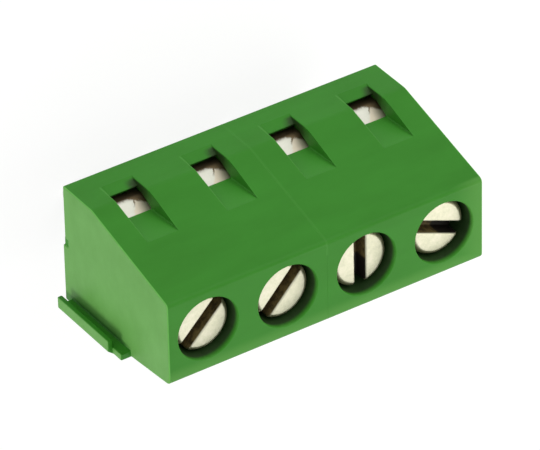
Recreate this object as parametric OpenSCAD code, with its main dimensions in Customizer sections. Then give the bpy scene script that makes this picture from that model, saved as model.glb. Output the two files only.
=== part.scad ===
// Four-pole screw terminal for printed circuit boards, rising-cage type.
// Two equal two-pole housings hook together side by side. Each pole has a captive
// screw that lifts a threaded cage, which clamps the wire under a contact plate.
// X runs along the row, Y from the wire side to the sloped rear, Z up from the board.
// The origin is on the board, in the middle of the row of solder pins.

/* [Row] */
// Distance between neighbouring poles
pitch = 5.08; // [5:0.04:5.6]

/* [Housing] */
// Wire face to screw axis, low on the housing
front_d = 3.02; // [2.95:0.05:3.5]
// Screw axis to the row of solder pins
pin_offset = 1.1; // [0.9:0.05:1.3]
// Row of solder pins to the upright rear wall
rear_d = 3.4; // [3.2:0.05:4]
// Height of the upright rear wall
rear_h = 3.05; // [2.6:0.05:3.6]
// Screw axis to the edge between flat top and slope
land_d = 2.5; // [2.3:0.05:2.9]
// How far the wire face leans back at the top
lean_d = 0.35; // [0.1:0.05:0.5]
// Height at which the wire face starts to lean
lean_h = 6.6; // [5.9:0.1:7.5]
// Radius along the edges of the flat top
edge_r = 0.3; // [0.1:0.05:0.5]
// Radius of the bend between rear wall and slope
bend_r = 1.2; // [0.4:0.1:2]
// Height of the flat top above the board
body_h = 10.3; // [10:0.1:12]
// Height of the pad that stands on the board
pad_h = 0.2; // [0.1:0.05:0.4]
// Width and height of the small notch behind the pad, at the hooked end
notch_w = 0.5; // [0.3:0.05:0.8]
// Depth of that notch along the row
notch_d = 0.1; // [0.05:0.05:0.4]
// Plastic between head seat and cage space
shoulder_t = 0.7; // [0.5:0.05:1.2]

/* [Test pockets] */
// Width of each pocket in the slope
pocket_w = 1.95; // [1.4:0.05:2.1]
// Height of the pocket from its lower edge to its tip
pocket_h = 4.7; // [4.3:0.05:5]
// Height of the pocket's lower edge above the board
sill_h = 1.5; // [1.2:0.05:1.7]
// Height of the bevelled sill under each window
sill_rise = 0.6; // [0.4:0.05:0.7]
// Depth of the sill's bevel
sill_d = 0.3; // [0.2:0.02:0.4]
// Thickness of the sill's upper edge
sill_edge = 0.1; // [0.06:0.02:0.2]
// Height of the window between sill and ramp
window_h = 1.32; // [1:0.02:1.4]
// Window to contact strip
window_gap = 0.17; // [0.1:0.01:0.25]
// Plastic behind the contact
rear_wall = 0.72; // [0.5:0.02:0.8]

/* [Wire entry] */
// Width of the wire mouth
mouth_w = 2.4; // [2:0.1:2.5]
// Height of the wire space in the open cage
wire_h = 2.1; // [1.8:0.05:2.3]
// Flare of the mouth, above and below
flare = 0.35; // [0.1:0.05:0.5]

/* [Side hook] */
// Reach of the hook beyond the housing end
hook_out = 0.95; // [0.7:0.05:1.05]
// Thickness of the upturned lip
lip_t = 0.3; // [0.2:0.02:0.4]
// Height of the lip across the hook
lip_w = 0.7; // [0.6:0.05:0.85]
// Chamfer under the lip
lip_chamfer = 0.24; // [0.1:0.02:0.3]
// Thickness of the hook's neck
neck_t = 0.42; // [0.3:0.02:0.5]
// Height of the hook above the board
hook_z = 0.7; // [0.4:0.1:1]
// Length of the lip
lip_h = 5.05; // [4:0.1:5.3]
// How far the neck runs on above the lip
neck_run = 0.8; // [0.3:0.1:1.2]

/* [Screw] */
// Diameter of the screw head
head_d = 3.45; // [3.3:0.05:3.6]
// Height of the screw head
head_h = 1.75; // [1.4:0.05:2]
// Width of the driver slot
slot_w = 0.7; // [0.5:0.05:0.9]
// Depth of the driver slot
slot_h = 0.95; // [0.6:0.05:1.2]
// Nominal thread diameter
thread_d = 2.5; // [2.2:0.1:2.6]

/* [Cage and contact] */
// Width of the contact strip
contact_w = 2.3; // [2.2:0.05:2.4]
// Thickness of the contact strip
strip_t = 0.5; // [0.4:0.05:0.6]
// Inner radius of the strip's bends
strip_r = 0.25; // [0.1:0.05:0.4]
// Lean of the contact's upper leg, in degrees
leg_lean = 26.5; // [22:0.5:30]
// Board to the foot of the contact
foot_z = 0.25; // [0.2:0.05:0.4]
// How far the foot runs past the pin
foot_reach = 0.75; // [0.7:0.05:0.9]
// Depth of the cage along the wire
cage_d = 3.2; // [2.8:0.1:3.3]
// Thickness of the cage's side walls
cage_wall = 0.47; // [0.4:0.02:0.52]
// Thickness of the cage's floor
floor_t = 0.6; // [0.5:0.05:0.8]
// Thickness of the cage's threaded top
nut_t = 1; // [0.8:0.05:1.3]

/* [Solder pin] */
// Diameter of the solder pin
pin_d = 1; // [0.8:0.05:1.1]
// Length of the pin below the board face of the pad
pin_l = 3.5; // [2.5:0.1:4.5]
// Width of the pin's collar beyond its shank
collar_rim = 0.3; // [0.2:0.05:0.4]

/* [Clearances] */
// Gap around the screw head
head_gap = 0.17; // [0.1:0.01:0.2]
// Radial play of the thread
thread_gap = 0.04; // [0.02:0.01:0.08]
// Gap around the screw's shank in the shoulder
shank_gap = 0.1; // [0.06:0.01:0.2]
// Gap beside the moving cage
side_gap = 0.06; // [0.04:0.01:0.1]
// Gap between contact plate and the cage's side walls
plate_gap = 0.1; // [0.06:0.01:0.15]
// Gap above and below the cage at its limits
end_gap = 0.1; // [0.06:0.01:0.15]
// Gap between hook and groove
hook_gap = 0.08; // [0.05:0.01:0.12]

/* [Hidden] */
$fn = 64;
poles = 4;
module_poles = 2;
// where each driver slot came to rest, in degrees from X
slot_angles = [45, 47, 90, -22];
corner_steps = 6;
over = 1;

module_w = module_poles * pitch;

// depths along Y
screw_y = -pin_offset;
front_y = screw_y - front_d;
land_y = screw_y + land_d;
cage_front_y = screw_y - cage_d / 2;
plate_front_y = cage_front_y + end_gap;
leg_y = rear_d - rear_wall;
window_y = rear_d - sill_d - sill_edge;

// widths along X
cage_in_w = contact_w + 2 * plate_gap;
cage_w = cage_in_w + 2 * cage_wall;

// heights along Z, from the board up
foot_top = foot_z + strip_t;
cage_z = foot_top + end_gap;
wire_z = cage_z + floor_t;
plate_z = wire_z + wire_h;
plate_top = plate_z + strip_t;
nut_z = plate_top + end_gap;
nut_top = nut_z + nut_t;
travel = wire_h - end_gap;
ceiling_z = nut_top + travel + end_gap;
seat_z = ceiling_z + shoulder_t;
head_top = seat_z + head_h;
window_z = sill_h + sill_rise;
window_top = window_z + window_h;
tip_z = sill_h + pocket_h;
knee_z = window_z + (window_y - window_gap - leg_y) / tan(leg_lean);

// the slope between flat top and rear wall
function slope_y(z) = rear_d + (land_y - rear_d) * (z - rear_h) / (body_h - rear_h);

// the plane of the window, parallel to the upper leg of the contact
function window_plane_y(z) = window_y - (z - window_z) * tan(leg_lean);

function unit(v) = v / norm(v);

// points of an arc of radius r that rounds corner p between its neighbours a and b
function rounded(a, p, b, r) =
    let (u = unit(a - p), w = unit(b - p),
         half = acos(u * w) / 2,
         middle = p + unit(u + w) * r / sin(half),
         start = p + u * r / tan(half) - middle,
         turn = (180 - 2 * half) * sign(cross(start, u - w)) * -1)
    [for (i = [0:corner_steps])
        let (t = turn * i / corner_steps)
        middle + [start.x * cos(t) - start.y * sin(t), start.x * sin(t) + start.y * cos(t)]];

function pole_x(i) = (i - (poles - 1) / 2) * pitch;

module at_pole(i) {
    translate([pole_x(i), 0, 0]) children();
}

// extrudes a drawing in Y and Z by w, centred on X
module along_x(w) {
    rotate([90, 0, 90]) linear_extrude(w, center = true) children();
}

// side view of the housing
module side_outline() {
    front_foot = [front_y, 0];
    front_knee = [front_y, lean_h];
    front_top = [front_y + lean_d, body_h];
    land_edge = [land_y, body_h];
    bend = [rear_d, rear_h];
    rear_foot = [rear_d, pad_h];
    polygon(concat(
        [front_foot, front_knee],
        rounded(front_knee, front_top, land_edge, edge_r),
        rounded(front_top, land_edge, bend, edge_r),
        rounded(land_edge, bend, rear_foot, bend_r),
        [rear_foot, [0, pad_h], [0, 0]]));
}

// section of the hook, X outwards from the housing end, Y up from the wire face
module hook_section(gap = 0) {
    neck_out = hook_out - lip_t;
    polygon([
        [0, -gap], [neck_out, -gap], [hook_out + gap, lip_chamfer - gap],
        [hook_out + gap, lip_chamfer + lip_w + gap],
        [neck_out - gap, lip_chamfer + lip_w + gap],
        [neck_out - gap, neck_t + gap], [0, neck_t + gap]]);
}

module neck_section(gap = 0) {
    translate([0, -gap]) square([hook_out - lip_t + gap, neck_t + 2 * gap]);
}

module at_wire_face() {
    translate([0, front_y, 0]) mirror([1, 0, 0]) children();
}

module hook() {
    at_wire_face() translate([0, 0, hook_z]) {
        linear_extrude(lip_h) hook_section();
        linear_extrude(lip_h + neck_run) neck_section();
    }
}

// the groove is the hook's shape grown by the gap, open at the board
module hook_groove() {
    at_wire_face() translate([0, 0, -over]) {
        linear_extrude(over + hook_z + lip_h + hook_gap) {
            hook_section(hook_gap);
            translate([0, -over]) square([hook_out + hook_gap, over + lip_chamfer]);
        }
        linear_extrude(over + hook_z + lip_h + neck_run + hook_gap) {
            neck_section(hook_gap);
            translate([0, -over]) square([hook_out - lip_t + hook_gap, over]);
        }
    }
}

// bored seat for the screw, open at the flat top
module screw_bore() {
    translate([0, screw_y, seat_z]) cylinder(d = head_d + 2 * head_gap, h = body_h);
    translate([0, screw_y, ceiling_z - over])
        cylinder(d = thread_d + 2 * shank_gap, h = shoulder_t + 2 * over);
}

// shaft for the cage and slot for the contact, both open at the board
module cage_space() {
    space_d = cage_d + 2 * side_gap;
    translate([-cage_w / 2 - side_gap, screw_y - space_d / 2, -over])
        cube([cage_w + 2 * side_gap, space_d, ceiling_z + over]);
    along_x(contact_w) polygon([
        [screw_y, -over], [leg_y, -over], [leg_y, sill_h], [window_y, sill_h],
        [window_y, window_z], [window_plane_y(plate_top), plate_top], [screw_y, plate_top]]);
}

// wire mouth with a flare above and below
module wire_mouth() {
    depth = cage_front_y - front_y;
    along_x(mouth_w) polygon([
        [front_y - over, wire_z - flare], [front_y, wire_z - flare],
        [front_y + depth / 2, wire_z], [screw_y, wire_z],
        [screw_y, plate_z], [front_y + depth / 2, plate_z],
        [front_y, plate_z + flare], [front_y - over, plate_z + flare]]);
}

// wedge in the slope that lays the leg of the contact bare for a test probe
module test_pocket() {
    out_y = rear_d + over;
    inside = window_gap / 2;
    along_x(pocket_w) polygon([
        [out_y, sill_h], [rear_d, sill_h], [rear_d - sill_d, window_z],
        [window_y - inside, window_z], [window_plane_y(window_top) - inside, window_top],
        [window_plane_y(window_top), window_top], [slope_y(tip_z), tip_z], [out_y, tip_z]]);
}

// notch in the board edge of the hooked end, where the pad begins
module base_notch() {
    translate([-over, -notch_w, -over]) cube([notch_d + over, notch_w, notch_w + over]);
}

// one two-pole housing, from its hooked end at x0 to the right
module housing(x0) {
    color("forestgreen") translate([x0, 0, 0]) {
        difference() {
            translate([module_w / 2, 0, 0]) along_x(module_w) side_outline();
            for (i = [0:module_poles - 1])
                translate([(i + 0.5) * pitch, 0, 0]) {
                    screw_bore();
                    cage_space();
                    wire_mouth();
                    test_pocket();
                }
            translate([module_w, 0, 0]) hook_groove();
            base_notch();
        }
        hook();
    }
}

// turned screw with a slotted head
module screw(i) {
    chamfer = 0.2;
    end_z = plate_top + end_gap / 2;
    shank_r = thread_d / 2 - thread_gap;
    color("lightgray") at_pole(i) translate([0, screw_y, 0]) difference() {
        rotate_extrude() polygon([
            [0, end_z], [shank_r - 2 * chamfer, end_z], [shank_r, end_z + chamfer],
            [shank_r, seat_z], [head_d / 2, seat_z],
            [head_d / 2, head_top - chamfer], [head_d / 2 - chamfer, head_top], [0, head_top]]);
        rotate([0, 0, slot_angles[i]])
            translate([-head_d, -slot_w / 2, head_top - slot_h]) cube([2 * head_d, slot_w, head_h]);
    }
}

// rectangle w by h from the origin, centred on X, with round corners
module round_rectangle(w, h, r) {
    translate([-w / 2, r]) square([w, h - 2 * r]);
    translate([r - w / 2, 0]) square([w - 2 * r, h]);
    for (x = [r - w / 2, w / 2 - r], y = [r, h - r])
        translate([x, y]) circle(r);
}

// folded wire cage with the thread in its top
module cage(i) {
    fold_r = 0.35;
    color("silver") at_pole(i) translate([0, screw_y, cage_z]) difference() {
        translate([0, cage_d / 2, 0]) rotate([90, 0, 0]) linear_extrude(cage_d) difference() {
            round_rectangle(cage_w, nut_top - cage_z, fold_r);
            translate([-cage_in_w / 2, floor_t]) square([cage_in_w, nut_z - wire_z]);
        }
        translate([0, 0, nut_z - cage_z - end_gap])
            cylinder(d = thread_d, h = nut_t + 2 * end_gap);
    }
}

// side view of the strip: plate above the wire, leaning leg, foot on the pin
module strip_outline() {
    outer_r = strip_r + strip_t;
    plate_end = [plate_front_y, plate_top];
    top = [leg_y - (plate_top - knee_z) * tan(leg_lean), plate_top];
    knee = [leg_y, knee_z];
    heel = [leg_y, foot_z];
    toe = [-foot_reach, foot_z];
    toe_in = [-foot_reach, foot_top];
    heel_in = [leg_y - strip_t, foot_top];
    knee_in = [leg_y - strip_t, knee_z - strip_t * tan(leg_lean / 2)];
    top_in = [knee_in.x - (plate_z - knee_in.y) * tan(leg_lean), plate_z];
    plate_end_in = [plate_front_y, plate_z];
    polygon(concat(
        [plate_end], rounded(plate_end, top, knee, outer_r), rounded(top, knee, heel, outer_r),
        rounded(knee, heel, toe, outer_r), [toe, toe_in],
        rounded(toe_in, heel_in, knee_in, strip_r), rounded(heel_in, knee_in, top_in, strip_r),
        rounded(knee_in, top_in, plate_end_in, strip_r), [plate_end_in]));
}

// one stamped strip with the hole for its pin
module contact(i) {
    color("gainsboro") at_pole(i) difference() {
        along_x(contact_w) strip_outline();
        translate([0, 0, foot_z - over]) cylinder(d = pin_d, h = strip_t + 2 * over);
    }
}

// round pin with a collar under the foot and a tapered tip
module solder_pin(i) {
    taper = 0.3;
    collar_z = foot_z / 4;
    color("silver") at_pole(i) rotate_extrude() polygon([
        [0, -pin_l], [pin_d / 2 - taper / 2, -pin_l], [pin_d / 2, taper - pin_l],
        [pin_d / 2, collar_z], [pin_d / 2 + collar_rim, collar_z],
        [pin_d / 2 + collar_rim, foot_z], [pin_d / 2, foot_z],
        [pin_d / 2, foot_top], [0, foot_top]]);
}

housing(-module_w);  // housing_left
housing(0);  // housing_right
screw(0);  // screw_1
screw(1);  // screw_2
screw(2);  // screw_3
screw(3);  // screw_4
cage(0);  // cage_1
cage(1);  // cage_2
cage(2);  // cage_3
cage(3);  // cage_4
contact(0);  // contact_1
contact(1);  // contact_2
contact(2);  // contact_3
contact(3);  // contact_4
solder_pin(0);  // pin_1
solder_pin(1);  // pin_2
solder_pin(2);  // pin_3
solder_pin(3);  // pin_4
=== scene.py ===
# %% [markdown]
# # A four-pole screw terminal
#
# The real part is a row of two green two-pole housings, hooked together. Each
# pole has a slotted screw in a bore in the flat top, a wire cage that the screw
# lifts, a bent contact strip that shows in a small window in the sloped rear,
# and a round solder pin. The solids come ready from the CAD model. This script
# gives them softened edges, finishes, threads, a camera and light.

# %% Load the fixed frame
import math

import bmesh
import bpy
from mathutils import Matrix, Vector


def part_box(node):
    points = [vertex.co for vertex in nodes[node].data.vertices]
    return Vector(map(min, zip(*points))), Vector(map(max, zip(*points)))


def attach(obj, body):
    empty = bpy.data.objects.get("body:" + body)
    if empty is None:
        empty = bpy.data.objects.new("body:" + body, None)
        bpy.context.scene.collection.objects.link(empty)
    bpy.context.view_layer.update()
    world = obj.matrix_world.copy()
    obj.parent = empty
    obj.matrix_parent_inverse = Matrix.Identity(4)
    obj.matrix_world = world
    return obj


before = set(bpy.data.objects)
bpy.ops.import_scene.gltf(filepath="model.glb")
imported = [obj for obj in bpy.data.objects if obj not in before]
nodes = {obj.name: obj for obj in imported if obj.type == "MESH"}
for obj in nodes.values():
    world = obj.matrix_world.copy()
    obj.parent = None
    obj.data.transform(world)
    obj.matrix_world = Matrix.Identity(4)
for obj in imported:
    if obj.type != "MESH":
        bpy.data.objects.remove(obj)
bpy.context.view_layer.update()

# %% [markdown]
# ## Sizes
#
# Blender measures in metres, so the part's sizes are written as a number of
# millimetres times MM. What a solid's own box can tell is read from it, so that
# it follows the solid. Places inside the solids are named where a finish needs
# them, with the same values as in the CAD model.

# %% Sizes read from the solids
MM = 0.001
screw_low, screw_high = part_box("screw_1")
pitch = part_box("screw_2")[0].x - screw_low.x
screw_y = (screw_low.y + screw_high.y) / 2
head_top = screw_high.z
head_radius = (screw_high.y - screw_low.y) / 2
body_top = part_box("housing_left")[1].z
seam_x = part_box("housing_left")[1].x
print("pitch", round(pitch / MM, 2), "mm, head radius", round(head_radius / MM, 2), "mm")

# %% [markdown]
# ## The camera
#
# The camera looks down on the sloped rear and the hooked end from far away
# through a long lens, so that lines along the row stay nearly parallel. It is
# also rolled, which makes the block lie across the picture. A camera looks along
# its own -Z, with X to its right and Y up, so its rotation is written as those
# three directions, side by side.

# %% Camera
camera_data = bpy.data.cameras.new("camera")
camera_data.lens = 411.85
camera_data.sensor_width = 36
camera_data.clip_start = 0.01
camera_data.clip_end = 10
camera = bpy.data.objects.new("camera", camera_data)
camera_right = Vector((0.82988, -0.01903, 0.55762))
camera_up = Vector((0.33256, 0.81936, -0.46697))
camera_back = camera_right.cross(camera_up).normalized()
camera_turn = Matrix((camera_right, camera_up, camera_back)).transposed()
camera.matrix_world = Matrix.Translation(
    Vector((-149.32, 190.33, 233.55)) * MM) @ camera_turn.to_4x4()
bpy.context.scene.collection.objects.link(camera)
bpy.context.scene.camera = camera
bpy.context.scene.view_settings.view_transform = "Standard"
print("camera is", round(camera.matrix_world.translation.length, 3), "m away")

# %% [markdown]
# ## Softened edges
#
# No real edge is perfectly sharp. Moulded plastic has edges of about a tenth of
# a millimetre, and stamped metal a little less. Those small curves catch light
# and draw every edge. The CAD meshes aren't edited: modifiers do the work. Weld
# joins the corners, Decimate in its planar mode takes out the diagonals of flat
# faces, and Bevel rounds what is still an edge. Where the two housings are
# pressed together the joint is so tight that it hardly shows, so a small node
# group tells Bevel how much of its width each edge gets, and the edges of that
# joint get only a little.

# %% Bevel share of each edge
SEAM_SHARE = 0.12
EDGE_ANGLE = math.radians(35)


def share_group():
    """Stores a bevel weight of 0 off the edges, 1 on them, and SEAM_SHARE at the joint."""
    group = bpy.data.node_groups.new("edge shares", "GeometryNodeTree")
    for way in ("INPUT", "OUTPUT"):
        group.interface.new_socket("Mesh", in_out=way, socket_type="NodeSocketGeometry")
    start = group.nodes.new("NodeGroupInput")
    end = group.nodes.new("NodeGroupOutput")
    angle = group.nodes.new("GeometryNodeInputMeshEdgeAngle")
    is_edge = group.nodes.new("FunctionNodeCompare")
    is_edge.inputs["B"].default_value = EDGE_ANGLE
    position = group.nodes.new("GeometryNodeInputPosition")
    parts = group.nodes.new("ShaderNodeSeparateXYZ")
    off_seam = group.nodes.new("ShaderNodeMath")
    off_seam.operation = "SUBTRACT"
    off_seam.inputs[1].default_value = seam_x
    distance = group.nodes.new("ShaderNodeMath")
    distance.operation = "ABSOLUTE"
    share = group.nodes.new("ShaderNodeMapRange")
    share.inputs["From Min"].default_value = 0.0
    share.inputs["From Max"].default_value = 0.01 * MM
    share.inputs["To Min"].default_value = SEAM_SHARE
    product = group.nodes.new("ShaderNodeMath")
    product.operation = "MULTIPLY"
    store = group.nodes.new("GeometryNodeStoreNamedAttribute")
    store.data_type = "FLOAT"
    store.domain = "EDGE"
    store.inputs["Name"].default_value = "bevel_weight_edge"
    for source, goal in (
            (angle.outputs["Unsigned Angle"], is_edge.inputs["A"]),
            (position.outputs[0], parts.inputs[0]),
            (parts.outputs["X"], off_seam.inputs[0]),
            (off_seam.outputs[0], distance.inputs[0]),
            (distance.outputs[0], share.inputs["Value"]),
            (is_edge.outputs[0], product.inputs[0]),
            (share.outputs["Result"], product.inputs[1]),
            (product.outputs[0], store.inputs["Value"]),
            (start.outputs[0], store.inputs["Geometry"]),
            (store.outputs["Geometry"], end.inputs[0])):
        group.links.new(source, goal)
    return group


edge_shares = share_group()
print("edge shares:", len(edge_shares.nodes), "nodes, seam at x =", round(seam_x / MM, 3), "mm")

# %% Edge modifiers
edge_widths = {"housing": 0.07, "screw": 0.12, "cage": 0.05, "contact": 0.05, "pin": 0.04}


def soften(piece, width):
    """Rounds the edges of a piece over the given width, in metres."""
    weld = piece.modifiers.new("join corners", "WELD")
    weld.merge_threshold = 1e-6
    flatten = piece.modifiers.new("clear diagonals", "DECIMATE")
    flatten.decimate_type = "DISSOLVE"
    flatten.angle_limit = math.radians(0.6)
    shares = piece.modifiers.new("edge shares", "NODES")
    shares.node_group = edge_shares
    edge = piece.modifiers.new("soft edges", "BEVEL")
    edge.width = width
    edge.segments = 2
    edge.limit_method = "WEIGHT"
    edge.harden_normals = True
    edge.use_clamp_overlap = False


for name, piece in nodes.items():
    soften(piece, edge_widths[name.split("_")[0]] * MM)
print("softened", len(nodes), "nodes")

# %% [markdown]
# ## Tools for finishes
#
# A finish is a small graph of shader nodes, and a few helpers keep the graphs
# short. start_finish makes a material and hands back its main shader and the
# place of each point. add makes a node, sets its values and joins its inputs.
# The patterns run on object coordinates, in metres, so a grain of a tenth of a
# millimetre has a scale near 10000.

# %% Material helpers
def start_finish(name):
    """A new material, its main shader, and the place of each point."""
    material = bpy.data.materials.new(name)
    material.use_nodes = True
    shader = material.node_tree.nodes["Principled BSDF"]
    place = material.node_tree.nodes.new("ShaderNodeTexCoord").outputs["Object"]
    return material, shader, place


def add(owner, kind, settings=None, **inputs):
    """Adds a node beside owner. Inputs are named, or go by number as in0, in1 and so on."""
    tree = owner.id_data
    made = tree.nodes.new("ShaderNode" + kind)
    for key, value in (settings or {}).items():
        setattr(made, key, value)
    for key, value in inputs.items():
        by_number = key[2:].isdigit()
        socket = made.inputs[int(key[2:]) if by_number else key]
        if isinstance(value, bpy.types.NodeSocket):
            tree.links.new(value, socket)
        else:
            socket.default_value = value
    return made


def join(source, shader, socket):
    """Feeds a source into one of the shader's own sockets."""
    shader.id_data.links.new(source, shader.inputs[socket])


def split(shader, vector):
    """The X, Y and Z of a vector, as three sockets."""
    return add(shader, "SeparateXYZ", Vector=vector).outputs


def noise(shader, place, size, detail=2.0, roughness=0.5):
    """A noise whose lumps are about size across, in metres."""
    return add(shader, "TexNoise", Vector=place, Scale=1 / size, Detail=detail,
               Roughness=roughness).outputs["Fac"]


def between(shader, amount, low, high):
    """Maps an amount from 0..1 to low..high."""
    return add(shader, "MapRange", in0=amount, in1=0.0, in2=1.0, in3=low, in4=high).outputs[0]


def tint(shader, amount, colors):
    """Runs an amount through a ramp of (position, color) pairs."""
    ramp = add(shader, "ValToRGB", Fac=amount)
    ramp.color_ramp.elements[0].position = colors[0][0]
    ramp.color_ramp.elements[0].color = (*colors[0][1], 1)
    ramp.color_ramp.elements[1].position = colors[-1][0]
    ramp.color_ramp.elements[1].color = (*colors[-1][1], 1)
    for position, color in colors[1:-1]:
        ramp.color_ramp.elements.new(position).color = (*color, 1)
    return ramp.outputs["Color"]


def relief(shader, height, depth, strength=1.0, under=None):
    """Turns a height of 0..1 into bumps of the given depth, in metres."""
    bump = add(shader, "Bump", Height=height, Distance=depth, Strength=strength)
    if under is not None:
        shader.id_data.links.new(under, bump.inputs["Normal"])
    return bump.outputs["Normal"]


print("a grain of 0.1 mm has scale", round(1 / (0.1 * MM)))

# %% [markdown]
# ## Masks
#
# A mask is a number from 0 to 1, made from a place, that says how much of
# another colour to mix in there. Masks are multiplied to limit each other. The
# bores, screws and contacts repeat at every pitch, so their masks are written
# once, in distances from a pole's own axis. Wrapping x round at every pitch does
# that: each pole then measures from its own middle.

# %% Mask helpers
def calc(shader, operation, *values):
    """A math node on up to three values, each a socket or a number."""
    numbered = {f"in{i}": value for i, value in enumerate(values)}
    return add(shader, "Math", {"operation": operation}, **numbered).outputs[0]


def times(shader, *masks):
    """The product of two or more masks or amounts."""
    product = masks[0]
    for mask in masks[1:]:
        product = calc(shader, "MULTIPLY", product, mask)
    return product


def rising(shader, value, start, end):
    """0 up to start, 1 from end on, with a soft step between. It falls if start is above end."""
    return add(shader, "MapRange", {"interpolation_type": "SMOOTHSTEP"}, in0=value, in1=start,
               in2=end).outputs[0]


def band(shader, value, start, full, fading, end):
    """Rises between start and full, and falls between fading and end."""
    return times(shader, rising(shader, value, start, full), rising(shader, value, end, fading))


def near(shader, value, middle, reach, core):
    """1 up to core away from the middle, and 0 from reach on."""
    distance = calc(shader, "ABSOLUTE", calc(shader, "SUBTRACT", value, middle))
    return rising(shader, distance, reach, core)


def blend(shader, amount, a, b):
    """Mixes two colors, each a socket or three numbers."""
    a, b = [c if isinstance(c, bpy.types.NodeSocket) else (*c, 1) for c in (a, b)]
    return add(shader, "Mix", {"data_type": "RGBA"}, in0=amount, in6=a, in7=b).outputs[2]


def pole_place(shader, place):
    """Place along X and Y and radius, all from a pole's screw axis, and height above the board."""
    x, y, z = split(shader, place)
    x = calc(shader, "WRAP", calc(shader, "SUBTRACT", x, pitch / 2), pitch / 2, -pitch / 2)
    y = calc(shader, "SUBTRACT", y, screw_y)
    flat = add(shader, "CombineXYZ", X=x, Y=y).outputs[0]
    radius = add(shader, "VectorMath", {"operation": "LENGTH"}, in0=flat).outputs["Value"]
    return x, y, radius, z


print("poles wrap every", round(pitch / MM, 2), "mm, around y =", round(screw_y / MM, 2), "mm")

# %% [markdown]
# ## Green polyamide
#
# The housings are injection-moulded polyamide: an even, deep green with a satin
# skin. Close up, the melt leaves soft cloudy flow marks a few millimetres long,
# and the steel of the mould prints a very fine grain. A painted skin could carry
# them, but it would have to be wrapped round the part and would blur close up.
# Noise that is worked out from the place of each point needs no wrapping and
# stays crisp. The clouds go into colour and a soft ripple, and the grain into
# roughness and a shallow bump.

# %% Green polyamide: skin
green_plastic, skin, place = start_finish("green_plastic")
stretched = add(skin, "Mapping", Vector=place, Scale=(0.5, 1.0, 1.6)).outputs[0]
clouds = noise(skin, stretched, 2.6 * MM, detail=4.0, roughness=0.6)
grain = noise(skin, place, 0.07 * MM, detail=3.0, roughness=0.6)
green = tint(skin, clouds, [(0.30, (0.037, 0.228, 0.016)), (0.72, (0.044, 0.262, 0.021))])
join(between(skin, grain, 0.38, 0.58), skin, "Roughness")
ripple = relief(skin, clouds, 0.02 * MM, 0.6)
join(relief(skin, grain, 0.004 * MM, 0.6, ripple), skin, "Normal")
skin.inputs["Specular IOR Level"].default_value = 0.17
x, y, _ = split(skin, place)
across, along, radius, height = pole_place(skin, place)
print("green_plastic skin:", len(green_plastic.node_tree.nodes), "nodes")

# %% [markdown]
# The end faces are painted paler, a painted sheen for the white floor they mirror and the light on
# them, and their edges paler still, a painted highlight. A face counts as an end face if it lies
# at the end of the row and its normal points along X.

# %% Green polyamide: painted sheen on the ends
end_x = 2 * pitch    # the end faces, this far out from the middle of the row
out = calc(skin, "ABSOLUTE", x)
facing = add(skin, "NewGeometry").outputs["True Normal"]
sideways = calc(skin, "ABSOLUTE", split(skin, facing)[0])
painted_sheen = tint(skin, clouds, [(0.30, (0.120, 0.340, 0.072)), (0.72, (0.150, 0.400, 0.098))])
edge_highlight_mask = band(skin, out, end_x - 0.08 * MM, end_x - 0.05 * MM,
                end_x + 0.01 * MM, end_x + 0.02 * MM)
end_sheen_mask = times(skin, rising(skin, out, end_x - 0.02 * MM, end_x - 0.01 * MM),
                 rising(skin, sideways, 0.80, 0.95))
# Painted highlight on the edges of the end faces, then painted sheen on the faces.
green = blend(skin, edge_highlight_mask, green, (0.150, 0.480, 0.095))
green = blend(skin, end_sheen_mask, green, painted_sheen)
print("with pale ends:", len(green_plastic.node_tree.nodes), "nodes")

# %% [markdown]
# The top is painted paler along its front edge and at the end away from the hook, a painted sheen
# where more light falls. The bores are painted dark around the screw heads, a painted shade in the
# deep gap beside the heads, which thins out towards the rim.

# %% Green polyamide: top and bores
# Painted sheen on the top, near its front edge and at its far end.
to_front = rising(skin, y, -2.75 * MM, -3.50 * MM)
to_far_end = rising(skin, x, 8.0 * MM, 10.2 * MM)
painted_top_sheen = times(skin, calc(skin, "MAXIMUM", to_front, to_far_end),
                rising(skin, height, body_top - 0.35 * MM, body_top - 0.15 * MM))
green = blend(skin, times(skin, painted_top_sheen, 0.42), green, (0.140, 0.400, 0.075))

# Painted shade on the bore walls around the screw heads.
painted_bore_shade = times(skin, rising(skin, radius, head_radius + 0.22 * MM, head_radius + 0.18 * MM),
               rising(skin, height, body_top - 0.02 * MM, body_top - 0.40 * MM))
green = blend(skin, times(skin, painted_bore_shade, 0.9), green, (0.014, 0.022, 0.010))
print("with top and bores:", len(green_plastic.node_tree.nodes), "nodes")

# %% [markdown]
# On the rear, one rim of each test pocket is painted paler, a painted highlight where its edge
# catches the light, and the joint of the two housings is painted paler too. The ramps of the
# pockets are painted a lighter green, painted light from the floor below them. Each of these is a
# strip between two places, so a few steps that rise and fall make its mask.

# %% Green polyamide: test pockets
pocket_side = 0.975 * MM    # half the width of a pocket
sill_low = 1.5 * MM         # where the sill of a pocket begins
window_low = 2.1 * MM       # the window between the sill and the ramp
window_high = 3.42 * MM
pocket_tip = 6.2 * MM       # where the ramp runs out in the slope

rear_side = rising(skin, along, 1.5 * MM, 1.7 * MM)
# Painted highlight along one rim of each pocket, and a paler line along the joint.
rim_highlight = times(skin, near(skin, across, -pocket_side - 0.035 * MM, 0.07 * MM, 0.02 * MM),
                   band(skin, height, sill_low - 0.1 * MM, sill_low + 0.1 * MM,
                        pocket_tip - 0.6 * MM, pocket_tip))
joint = times(skin, near(skin, x, seam_x, 0.10 * MM, 0.03 * MM), 0.45)
rim_highlight_and_pale_joint = times(skin, calc(skin, "MAXIMUM", rim_highlight, joint), rear_side)
green = blend(skin, times(skin, rim_highlight_and_pale_joint, 0.35), green, (0.120, 0.400, 0.075))

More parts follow.
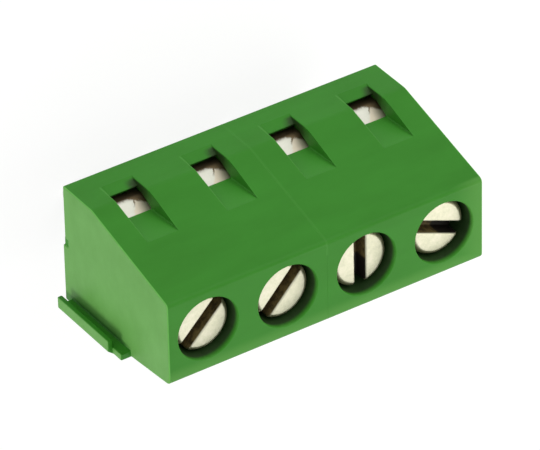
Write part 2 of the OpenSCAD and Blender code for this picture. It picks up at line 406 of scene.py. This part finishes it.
# Painted light: the ramps are painted a lighter green for the light the floor throws up onto them.
ramp = times(skin, rising(skin, calc(skin, "ABSOLUTE", across),
                          pocket_side + 0.015 * MM, pocket_side - 0.015 * MM),
             band(skin, height, window_high, window_high + 0.08 * MM,
                  pocket_tip - 0.2 * MM, pocket_tip + 0.1 * MM), rear_side)
green = blend(skin, times(skin, ramp, 0.55), green, (0.056, 0.300, 0.030))
print("with test pockets:", len(green_plastic.node_tree.nodes), "nodes")

# %% [markdown]
# Painted shade darkens the plastic around one lower corner of each window, where the deep window
# keeps the light out. It has no straight side, so its mask runs on the distance from that corner,
# made ragged by a noise, and it ends where the pocket does.

# %% Green polyamide: painted shade in the pockets
window_y = 3.0 * MM    # depth of the window's lower edge
from_corner = add(
    skin, "CombineXYZ",
    X=times(skin, calc(skin, "SUBTRACT", across, pocket_side), 1.3),
    Y=calc(skin, "SUBTRACT", along, window_y - screw_y),
    Z=times(skin, calc(skin, "SUBTRACT", height, window_low + 0.05 * MM), 0.6)).outputs[0]
off_corner = add(skin, "VectorMath", {"operation": "LENGTH"}, in0=from_corner).outputs["Value"]
edge_noise = noise(skin, place, 0.5 * MM, detail=4.0, roughness=0.6)
ragged_distance = calc(skin, "ADD", off_corner, between(skin, edge_noise, -0.25 * MM, 0.25 * MM))
# Painted shade around one lower corner of each window.
painted_window_shade = times(skin, rising(skin, ragged_distance, 0.95 * MM, 0.20 * MM),
              rising(skin, across, pocket_side + 0.020 * MM, pocket_side + 0.005 * MM),
              rising(skin, height, sill_low + 0.05 * MM, sill_low + 0.25 * MM))
green = blend(skin, times(skin, painted_window_shade, 0.85), green, (0.024, 0.034, 0.014))
print("with painted_shade:", len(green_plastic.node_tree.nodes), "nodes")

# %% [markdown]
# The narrow channel between the hook and the body is painted darker, a painted shade where the
# hook keeps the light out. That is the last layer, so the colour can go into the shader now.

# %% Green polyamide: channel behind the hook
neck_y = -3.7 * MM    # inner side of the neck that carries the hook
neck_top = 6.55 * MM
# Painted shade in the channel beside the hook.
painted_channel_shade = times(skin, rising(skin, x, 0.06 * MM - end_x, 0.03 * MM - end_x),
                   rising(skin, y, neck_y + 0.30 * MM, neck_y + 0.05 * MM),
                   rising(skin, height, neck_top - 0.25 * MM, neck_top - 0.75 * MM),
                   rising(skin, out, end_x + 0.10 * MM, end_x + 0.05 * MM))
green = blend(skin, times(skin, painted_channel_shade, 0.8), green, (0.026, 0.150, 0.018))
join(green, skin, "Base Color")
print("green_plastic:", len(green_plastic.node_tree.nodes), "nodes")

# %% [markdown]
# ## Turned and plated screws
#
# Each head was faced on a lathe, so its flat top carries fine rings, and then plated, which leaves
# a warm, soft, slightly grainy shine. The rim is rolled over, and it is painted olive, a painted
# shade where it mirrors the dark bore. The driver slot is painted olive brown, darker with depth
# as painted shade, and nearly black along one side in the housing away from the hook, a painted
# shadow of the bore's rim. The slot is the only place under the top and chamfer of the head that
# lies inside the head's radius, and that is how it is picked out. The rings could be cut into the
# mesh, but they are so shallow that a bump of a sine wave looks the same.

# %% Screw steel: plating
screw_steel, face, place = start_finish("screw_steel")
across, along, radius, height = pole_place(face, place)
blotch = noise(face, place, 0.45 * MM, detail=6.0, roughness=0.75)
plating = tint(face, blotch, [(0.25, (0.46, 0.46, 0.34)), (0.50, (0.60, 0.59, 0.45)),
                              (0.75, (0.72, 0.68, 0.57))])
# Painted shade: an olive band around the rim of the head.
painted_rim_shade = rising(face, radius, head_radius - 0.30 * MM, head_radius - 0.12 * MM)
plating = blend(face, times(face, painted_rim_shade, 0.60), plating, (0.50, 0.46, 0.22))

ring_spacing = 0.11 * MM
wander = between(face, noise(face, place, 0.5 * MM, detail=3.0), -1.5, 1.5)
turns = calc(face, "MULTIPLY_ADD", radius, 2 * math.pi / ring_spacing, wander)
rolled = relief(face, rising(face, radius, head_radius, head_radius - 0.30 * MM), 0.04 * MM)
join(relief(face, calc(face, "SINE", turns), 0.0015 * MM, 0.5, rolled), face, "Normal")
print("screw_steel plating:", len(screw_steel.node_tree.nodes), "nodes")

# %% Screw steel: slot colour and painted shade
chamfer_start = head_radius - 0.22 * MM
chamfer_drop = calc(face, "MAXIMUM", calc(face, "SUBTRACT", radius, chamfer_start), 0.0)
under_top = calc(face, "SUBTRACT", head_top - 0.05 * MM, calc(face, "ADD", height, chamfer_drop))
in_slot = times(face, rising(face, under_top, 0.0, 0.06 * MM),
                rising(face, radius, head_radius - 0.02 * MM, head_radius - 0.04 * MM))
# The slot is painted olive brown, darker with depth as painted shade.
depth = add(face, "MapRange", in0=height, in1=head_top - 0.9 * MM, in2=head_top).outputs[0]
slot_tone_and_shade = tint(face, depth, [(0.0, (0.170, 0.120, 0.040)), (0.35, (0.230, 0.165, 0.055)),
                            (1.0, (0.300, 0.230, 0.090))])
slot_tone_and_shade = blend(face, rising(face, blotch, 0.35, 0.65), slot_tone_and_shade, (0.060, 0.042, 0.015))
# Painted shadow of the bore's rim, nearly black, along one side in the far housing.
painted_shadow_side = rising(face, calc(face, "SUBTRACT", across, along), 0.40 * MM, 0.60 * MM)
far_housing = rising(face, split(face, place)[0], -0.1 * MM, 0.1 * MM)
slot_tone_and_shade = blend(face, times(face, painted_shadow_side, far_housing), slot_tone_and_shade, (0.012, 0.008, 0.005))
join(blend(face, in_slot, plating, slot_tone_and_shade), face, "Base Color")
join(between(face, in_slot, 1.0, 0.2), face, "Metallic")
join(calc(face, "MAXIMUM", between(face, blotch, 0.40, 0.66), between(face, in_slot, 0.0, 0.6)),
     face, "Roughness")
print("screw_steel:", len(screw_steel.node_tree.nodes), "nodes")

# %% [markdown]
# ## Stamped and tinned metal
#
# Cages, contact strips and pins are plated too, and they differ in how they were
# made. A cage is folded from rolled strip, with faint scratches along the fold.
# Tin on the contacts is soft and slightly mottled. The pins were drawn through a
# die, so their lines run lengthwise. One recipe serves all three: stretched
# noise for the lines, and a broad one for the mottling.

# %% Plated metals
def plated(name, colors, stretch, roughness):
    """A metal whose colour and roughness vary by mottling, with lines along one axis."""
    material, shader, place = start_finish(name)
    stretched = add(shader, "Mapping", Vector=place, Scale=stretch).outputs[0]
    scratches = noise(shader, stretched, 0.06 * MM, detail=3.0, roughness=0.7)
    mottle = noise(shader, place, 0.7 * MM, detail=5.0, roughness=0.6)
    color = tint(shader, mottle, colors)
    join(color, shader, "Base Color")
    join(between(shader, mottle, *roughness), shader, "Roughness")
    join(relief(shader, scratches, 0.003 * MM, 0.5), shader, "Normal")
    shader.inputs["Metallic"].default_value = 1.0
    print(name + ":", len(material.node_tree.nodes), "nodes")
    return material, shader, place, color


cage_steel = plated("cage_steel", [(0.3, (0.55, 0.54, 0.49)), (0.7, (0.72, 0.71, 0.67))],
                    (1.0, 0.06, 1.0), (0.26, 0.44))[0]
tinned_pin = plated("tinned_pin", [(0.3, (0.66, 0.65, 0.61)), (0.7, (0.80, 0.79, 0.76))],
                    (1.0, 1.0, 0.05), (0.22, 0.38))[0]
tinned_strip, tin, place, tin_color = plated(
    "tinned_strip", [(0.3, (0.54, 0.54, 0.46)), (0.7, (0.64, 0.64, 0.56))],
    (1.0, 1.0, 0.06), (0.42, 0.60))

# %% [markdown]
# The strip shows in the windows. Its bend is painted brown, a painted shade from the window's
# depth, most of all toward one corner. A dark line, also painted shade, runs up from there, and
# the tin beyond that line is painted a little pink, a painted reflection.

# %% Painted shade and reflection on the contact strip
bend_z = 2.4 * MM    # where the strip starts to lean, in its window
LEAN = 0.68          # how far the dark line moves across for each step up
across, _, _, height = pole_place(tin, place)
ragged = noise(tin, place, 0.22 * MM, detail=4.0, roughness=0.7)
wobble = between(tin, ragged, -0.16 * MM, 0.16 * MM)
# Painted shade: a dark line running up from the corner, with painted reflection beyond it.
dark_line_x = 0.58 * MM + LEAN * bend_z
off_dark_line = calc(tin, "ADD", calc(tin, "MULTIPLY_ADD", height, LEAN, across), wobble)
painted_dark_line = times(tin, near(tin, off_dark_line, dark_line_x, 0.08 * MM, 0.02 * MM),
                rising(tin, height, bend_z + 0.60 * MM, bend_z + 0.20 * MM))
painted_reflection_side = rising(tin, off_dark_line, dark_line_x - 0.03 * MM, dark_line_x + 0.12 * MM)
# Painted shade at the bend, strongest toward one corner.
toward_corner = calc(tin, "MAXIMUM", calc(tin, "SUBTRACT", across, 0.15 * MM), 0.0)
shade_height = calc(tin, "MULTIPLY_ADD", toward_corner, -0.55, calc(tin, "ADD", height, wobble))
painted_bend_shade = times(tin, rising(tin, shade_height, bend_z + 0.08 * MM, bend_z - 0.12 * MM),
                rising(tin, height, bend_z - 1.20 * MM, bend_z - 0.80 * MM))
shade = blend(tin, times(tin, painted_reflection_side, 0.45), tin_color, (0.60, 0.47, 0.31))
shade = blend(tin, painted_dark_line, shade, (0.16, 0.12, 0.07))
shade = blend(tin, painted_bend_shade, shade, (0.15, 0.11, 0.06))
join(shade, tin, "Base Color")
print("tinned_strip with painted_shade_and_reflection:", len(tinned_strip.node_tree.nodes), "nodes")

# %% [markdown]
# Each solid came with a plain material in its slot, and a finish takes that
# place. The first word of the solid's name says which. A name without a finish
# would stop the script, so no solid is forgotten.

# %% Finishes onto the nodes
finish_of = {"housing": green_plastic, "screw": screw_steel, "cage": cage_steel,
             "contact": tinned_strip, "pin": tinned_pin}
for name, piece in nodes.items():
    for slot in piece.material_slots:
        slot.material = finish_of[name.split("_")[0]]
print("finishes on", len(nodes), "nodes")

# %% [markdown]
# ## Screw threads
#
# The solids keep the thread as a plain cylinder, because a helix is costly there.
# Here it is a real ridge: a small flat-topped profile, carried round the shank
# while it climbs one thread pitch a turn. It is kept lower than a real thread, to
# clear the cage, and fades out at both ends. A Screw modifier could sweep it too,
# but would not fade it, so a loop places the points. The ridge rides on its
# screw's body and turns with the screw.

# %% Thread ridges
thread_pitch = 0.45 * MM
shank_radius = 1.21 * MM
ridge = 0.022 * MM    # how far the ridge stands out from the shank
sunk = -0.01 * MM     # its foot lies inside the shank
thread_low = screw_low.z + 0.25 * MM
thread_high = thread_low + 3.0 * MM
STEPS = 36      # around one turn
FOOT = 0.19     # half the width of the ridge at its foot, as a share of the thread pitch
CREST = 0.04    # and at its top


def thread_piece(name, x):
    """A closed ridge around the vertical axis at x, screw_y."""
    mesh = bmesh.new()
    count = int((thread_high - thread_low) / thread_pitch * STEPS)
    rows = []
    for i in range(count + 1):
        angle = 2 * math.pi * i / STEPS
        top = ridge * min(1, i / STEPS, (count - i) / STEPS)
        z = thread_low + thread_pitch * i / STEPS
        row = []
        for out, up in ((sunk, -FOOT), (top, -CREST), (top, CREST), (sunk, FOOT)):
            r = shank_radius + out
            row.append(mesh.verts.new((x + r * math.cos(angle), screw_y - r * math.sin(angle),
                                       z + up * thread_pitch)))
        rows.append(row)
    for a, b in zip(rows, rows[1:]):
        for k in range(4):
            next_k = (k + 1) % 4
            mesh.faces.new((a[k], a[next_k], b[next_k], b[k])).smooth = k == 1
    mesh.faces.new(rows[0])
    mesh.faces.new(rows[-1][::-1])
    bmesh.ops.recalc_face_normals(mesh, faces=mesh.faces)
    data = bpy.data.meshes.new(name)
    mesh.to_mesh(data)
    mesh.free()
    data.materials.append(screw_steel)
    piece = bpy.data.objects.new(name, data)
    bpy.context.scene.collection.objects.link(piece)
    return piece


for pole in range(1, 5):
    low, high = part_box(f"screw_{pole}")
    thread = thread_piece(f"thread_{pole}", (low.x + high.x) / 2)
    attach(thread, f"screw_{pole}")
print("threads:", round((thread_high - thread_low) / thread_pitch, 1), "turns each")

# %% [markdown]
# ## Floor and surroundings
#
# The block stands on its pins on a white floor, in a white room. Anything that
# looks straight at the floor or the room, and anything mirrored in metal, should
# see plain white. Light that bounces off them stays weaker, or it would wash out
# the green. Light Path tells the two apart.

# %% White for camera, mirror and glass rays
ROOM_LIGHT = 0.58    # strength of the room for all other rays


def seen_directly(tree):
    """1 for rays from the camera, a mirror or glass, and 0 for all others."""
    path = tree.nodes.new("ShaderNodeLightPath")
    total = path.outputs["Is Camera Ray"]
    for kind in ("Is Glossy Ray", "Is Transmission Ray"):
        both = tree.nodes.new("ShaderNodeMath")
        both.operation = "MAXIMUM"
        tree.links.new(total, both.inputs[0])
        tree.links.new(path.outputs[kind], both.inputs[1])
        total = both.outputs[0]
    return total


world = bpy.data.worlds.new("room")
bpy.context.scene.world = world
world.use_nodes = True
room = world.node_tree
background = room.nodes["Background"]
background.inputs["Color"].default_value = (1, 1, 1, 1)
level = room.nodes.new("ShaderNodeMapRange")
level.inputs["To Min"].default_value = ROOM_LIGHT
level.inputs["To Max"].default_value = 1.0
room.links.new(seen_directly(room), level.inputs["Value"])
room.links.new(level.outputs["Result"], background.inputs["Strength"])
print("room light:", ROOM_LIGHT)

# %% [markdown]
# The floor mixes a glow with a matte white. The glow keeps it white to the eye,
# and the matte share lets the soft shadow under the block show.

# %% Floor
GLOW_STRENGTH = 1.16
GLOW_SHARE = 0.72

floor_mesh = bmesh.new()
bmesh.ops.create_grid(floor_mesh, x_segments=1, y_segments=1, size=1.5)
floor_data = bpy.data.meshes.new("floor")
floor_mesh.to_mesh(floor_data)
floor_mesh.free()
floor = bpy.data.objects.new("floor", floor_data)
floor.location.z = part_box("pin_1")[0].z - 0.01 * MM    # just under the tips of the pins
bpy.context.scene.collection.objects.link(floor)

floor_white = bpy.data.materials.new("floor_white")
floor_white.use_nodes = True
tree = floor_white.node_tree
matte = tree.nodes["Principled BSDF"]
matte.inputs["Base Color"].default_value = (0.85, 0.85, 0.85, 1)
matte.inputs["Roughness"].default_value = 0.9
matte.inputs["Specular IOR Level"].default_value = 0.0
glow = add(matte, "Emission", Color=(1, 1, 1, 1), Strength=GLOW_STRENGTH).outputs[0]
share = times(matte, seen_directly(tree), GLOW_SHARE)
mixed = add(matte, "MixShader", in0=share, in1=matte.outputs[0], in2=glow)
tree.links.new(mixed.outputs[0], tree.nodes["Material Output"].inputs["Surface"])
floor_data.materials.append(floor_white)
print("floor at", round(floor.location.z / MM, 2), "mm")

# %% [markdown]
# ## Light
#
# Most of the light comes evenly from the white room. Four round area lamps shape
# it. The side lamp lights the hooked end, and the fill lamp the slope. The main
# lamp stands where the flat screw faces mirror it, so that they shine, and the
# near lamp warms the top at the end away from the hook. A lamp that is large for
# its distance gives soft shadows. The power is small because the part is small
# too, and the lamps are only 5 to 35 centimetres away.

# %% Lamps
def lamp(name, direction, distance, size, watts, color=(1, 1, 1)):
    """A round lamp at a distance in metres, facing the middle of the part."""
    data = bpy.data.lights.new(name, "AREA")
    data.shape = "DISK"
    data.size = size
    data.energy = watts
    data.color = color
    made = bpy.data.objects.new(name, data)
    toward = Vector(direction).normalized()
    made.matrix_world = Matrix.Translation(toward * distance) @ \
        toward.to_track_quat("Z", "Y").to_matrix().to_4x4()
    bpy.context.scene.collection.objects.link(made)


lamp("main_lamp", (0.50, -0.57, 0.65), 0.25, 0.26, 0.15)
lamp("near_lamp", (0.66, -0.12, 0.74), 0.055, 0.035, 0.0030, (1.0, 0.95, 0.75))
lamp("fill_lamp", (0.40, 0.80, 0.40), 0.35, 0.25, 0.32)
lamp("side_lamp", (-1.0, -0.16, 0.06), 0.30, 0.12, 0.42, (1.0, 0.97, 0.88))
